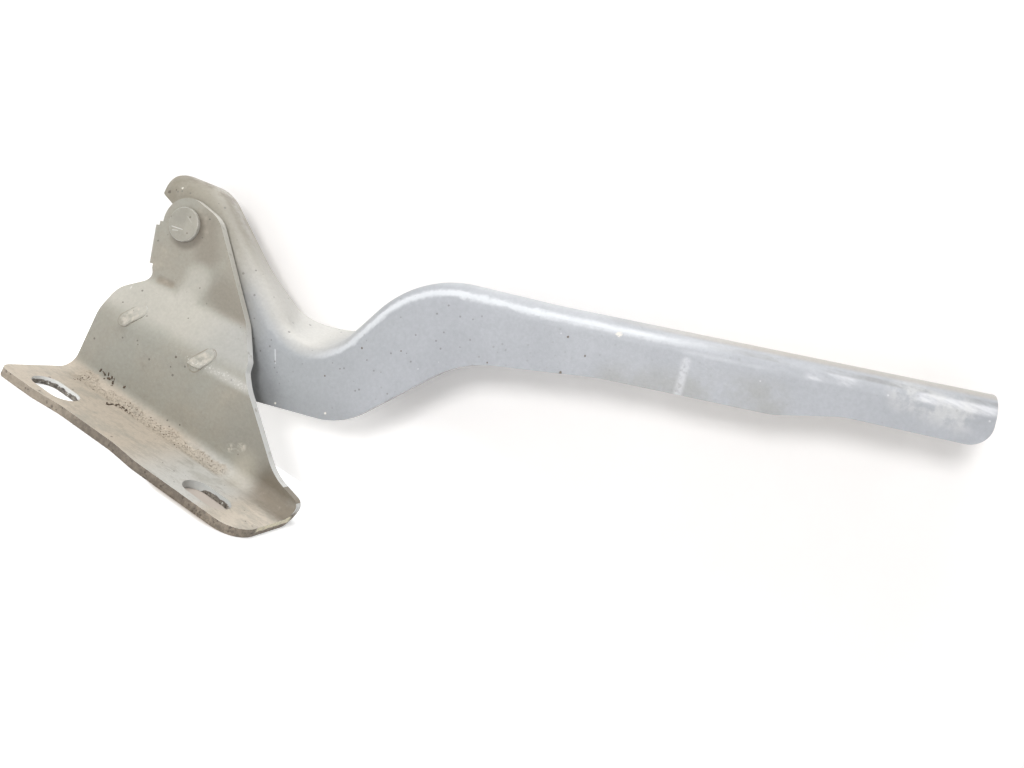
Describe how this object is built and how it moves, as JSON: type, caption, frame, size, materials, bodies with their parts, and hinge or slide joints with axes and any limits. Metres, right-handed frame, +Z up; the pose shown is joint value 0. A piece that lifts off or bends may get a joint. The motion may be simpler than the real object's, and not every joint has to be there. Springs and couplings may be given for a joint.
{
  "type": "hood hinge",
  "caption": "Riveted hood hinge: a slotted base bracket with a joggled neck, and a gooseneck arm of L section whose top flange bolts to the hood.",
  "frame": {"origin": "on the underside of the base flange, midway between the centres of the two bolt slots", "axes": "+Z up from the base flange, +X along the base towards the front end of the arm, +Y from the rivet head towards the arm; the pivot axis runs along Y"},
  "size_m": [0.3114, 0.0718, 0.1611],
  "materials": {
    "bracket_paint": "worn warm grey primer with tan road dirt and bare sheared edges",
    "arm_paint": "worn cool grey primer with fine dark specks",
    "rivet_paint": "grey primer over a flat steel head, scratched",
    "bush_bronze": "plain bronze",
    "washer_steel": "plain steel"
  },
  "bodies": {
    "bracket_side": {"hinge_bracket": "bracket_paint", "pivot_rivet": "rivet_paint", "rivet_washer": "washer_steel"},
    "arm_side": {"hinge_arm": "arm_paint", "pivot_bush": "bush_bronze"}
  },
  "joints": [
    {"name": "hood_swing", "type": "hinge", "parent": "bracket_side", "child": "arm_side", "pos_m": [-0.043, 0.0371, 0.0765], "axis": [0, -1, 0], "range_deg": [-20, 40]}
  ]
}
